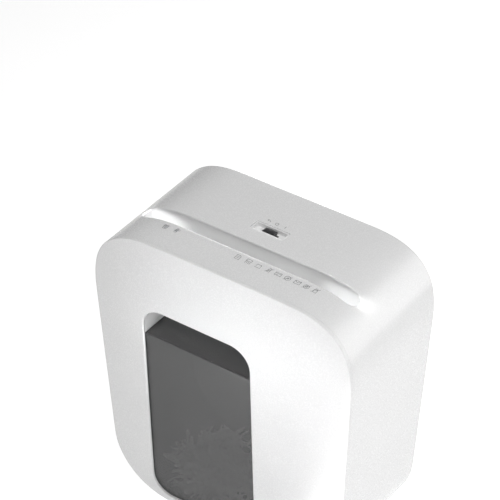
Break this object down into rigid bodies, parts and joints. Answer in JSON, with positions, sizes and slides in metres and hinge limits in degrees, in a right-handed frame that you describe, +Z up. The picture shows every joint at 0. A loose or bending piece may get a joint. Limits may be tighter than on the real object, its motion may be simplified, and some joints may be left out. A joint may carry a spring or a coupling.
{
  "type": "paper shredder",
  "caption": "Desk-side paper shredder: rounded white housing with a top paper slot over geared cross-cut rollers, and a pull-out bin with a smoked window.",
  "frame": {"origin": "on the resting plane of the rubber feet, under the middle of the body's bounding box", "axes": "+Z up, front panel and bin face -Y, +X to the right when facing the front"},
  "size_m": [0.339, 0.1722, 0.385],
  "materials": {
    "white_shell": "glossy moulded white",
    "white_trim": "satin moulded white",
    "pale_inner": "matte pale grey",
    "smoke_plastic": "smoked translucent, polished",
    "dark_plastic": "matte black",
    "black_rubber": "matte",
    "plate_steel": "pressed zinc-plated sheet",
    "cutter_steel": "machined, lightly oiled",
    "gear_steel": "sintered",
    "zinc_steel": "bright zinc",
    "bronze": "sintered bronze",
    "nylon": "natural nylon",
    "motor_steel": "drawn can",
    "circuit_board": "solder mask",
    "capacitor_case": "sleeved",
    "clear_lens": "frosted light guide"
  },
  "bodies": {
    "housing": {"housing_wrap": "white_shell", "rear_cover": "white_shell", "rear_screw_1": "zinc_steel", "rear_screw_2": "zinc_steel", "rear_screw_3": "zinc_steel", "rear_screw_4": "zinc_steel", "cord_gland": "black_rubber", "foot_1": "black_rubber", "foot_2": "black_rubber", "foot_3": "black_rubber", "foot_4": "black_rubber", "slot_throat": "white_trim", "switch_bezel": "white_trim", "switch_body": "dark_plastic", "indicator_lens_1": "clear_lens", "indicator_lens_2": "clear_lens", "indicator_board": "circuit_board", "head_deck": "pale_inner", "head_bulkhead": "pale_inner", "interlock_switch": "dark_plastic", "cutter_plate_left": "plate_steel", "cutter_plate_right": "plate_steel", "roller_bush_front_left": "bronze", "roller_bush_front_right": "bronze", "roller_bush_rear_left": "bronze", "roller_bush_rear_right": "bronze", "tie_rod_1": "zinc_steel", "tie_rod_2": "zinc_steel", "stripper_comb_front": "dark_plastic", "stripper_comb_rear": "dark_plastic", "first_gear_axle": "zinc_steel", "second_gear_axle": "zinc_steel", "gear_plate": "plate_steel", "gear_post_1": "zinc_steel", "frame_screw_1": "zinc_steel", "frame_screw_2": "zinc_steel", "frame_screw_3": "zinc_steel", "frame_screw_4": "zinc_steel", "motor_can": "motor_steel", "motor_end_bell": "dark_plastic", "control_board": "circuit_board", "motor_capacitor": "capacitor_case", "inner_lead": "black_rubber"},
    "bin": {"bin_front": "white_shell", "bin_window": "smoke_plastic", "finger_recess": "pale_inner", "bin_tub": "smoke_plastic"},
    "rear_cutter": {"cutter_roller_rear": "cutter_steel", "sync_gear_rear": "gear_steel", "final_gear": "gear_steel"},
    "front_cutter": {"cutter_roller_front": "cutter_steel", "sync_gear_front": "gear_steel"},
    "second_gear_set": {"second_gear": "nylon"},
    "first_gear_set": {"first_gear": "nylon"},
    "motor_rotor": {"motor_shaft": "zinc_steel", "motor_fan": "dark_plastic", "motor_pinion": "bronze"},
    "paper_flag_lever": {"paper_flag": "dark_plastic"},
    "mode_knob": {"switch_knob": "dark_plastic"},
    "interlock_pin": {"interlock_plunger": "nylon"}
  },
  "joints": [
    {"name": "bin_slide", "type": "slide", "parent": "housing", "child": "bin", "axis": [0, -1, 0], "range_m": [0, 0.14]},
    {"name": "rear_cutter_spin", "type": "hinge", "parent": "housing", "child": "rear_cutter", "pos_m": [0, -0.01075, 0.328], "axis": [1, 0, 0], "continuous": true},
    {"name": "front_cutter_spin", "type": "hinge", "parent": "housing", "child": "front_cutter", "pos_m": [0, -0.04375, 0.328], "axis": [1, 0, 0], "continuous": true},
    {"name": "second_gear_spin", "type": "hinge", "parent": "housing", "child": "second_gear_set", "pos_m": [0, 0.02212, 0.33088], "axis": [1, 0, 0], "continuous": true},
    {"name": "first_gear_spin", "type": "hinge", "parent": "housing", "child": "first_gear_set", "pos_m": [0, 0.04286, 0.34697], "axis": [1, 0, 0], "continuous": true},
    {"name": "motor_spin", "type": "hinge", "parent": "housing", "child": "motor_rotor", "pos_m": [0, 0.0495, 0.326], "axis": [1, 0, 0], "continuous": true},
    {"name": "paper_flag_tilt", "type": "hinge", "parent": "housing", "child": "paper_flag_lever", "pos_m": [0, -0.009, 0.361], "axis": [1, 0, 0], "range_deg": [0, 30], "stiffness_Nm_per_rad": 0.003, "springref_deg": -11.46},
    {"name": "mode_knob_slide", "type": "slide", "parent": "housing", "child": "mode_knob", "axis": [1, 0, 0], "range_m": [-0.007, 0.007]},
    {"name": "interlock_press", "type": "slide", "parent": "housing", "child": "interlock_pin", "axis": [0, -1, 0], "range_m": [0, 0.003], "stiffness_N_per_m": 60, "springref_m": 0.005}
  ],
  "couplings": [
    {"joint": "front_cutter_spin", "follows": "rear_cutter_spin", "ratio": -1},
    {"joint": "second_gear_spin", "follows": "rear_cutter_spin", "ratio": -3.4},
    {"joint": "first_gear_spin", "follows": "rear_cutter_spin", "ratio": 10.88},
    {"joint": "motor_spin", "follows": "rear_cutter_spin", "ratio": -36.992},
    {"joint": "interlock_press", "follows": "bin_slide", "ratio": 0.0214}
  ]
}
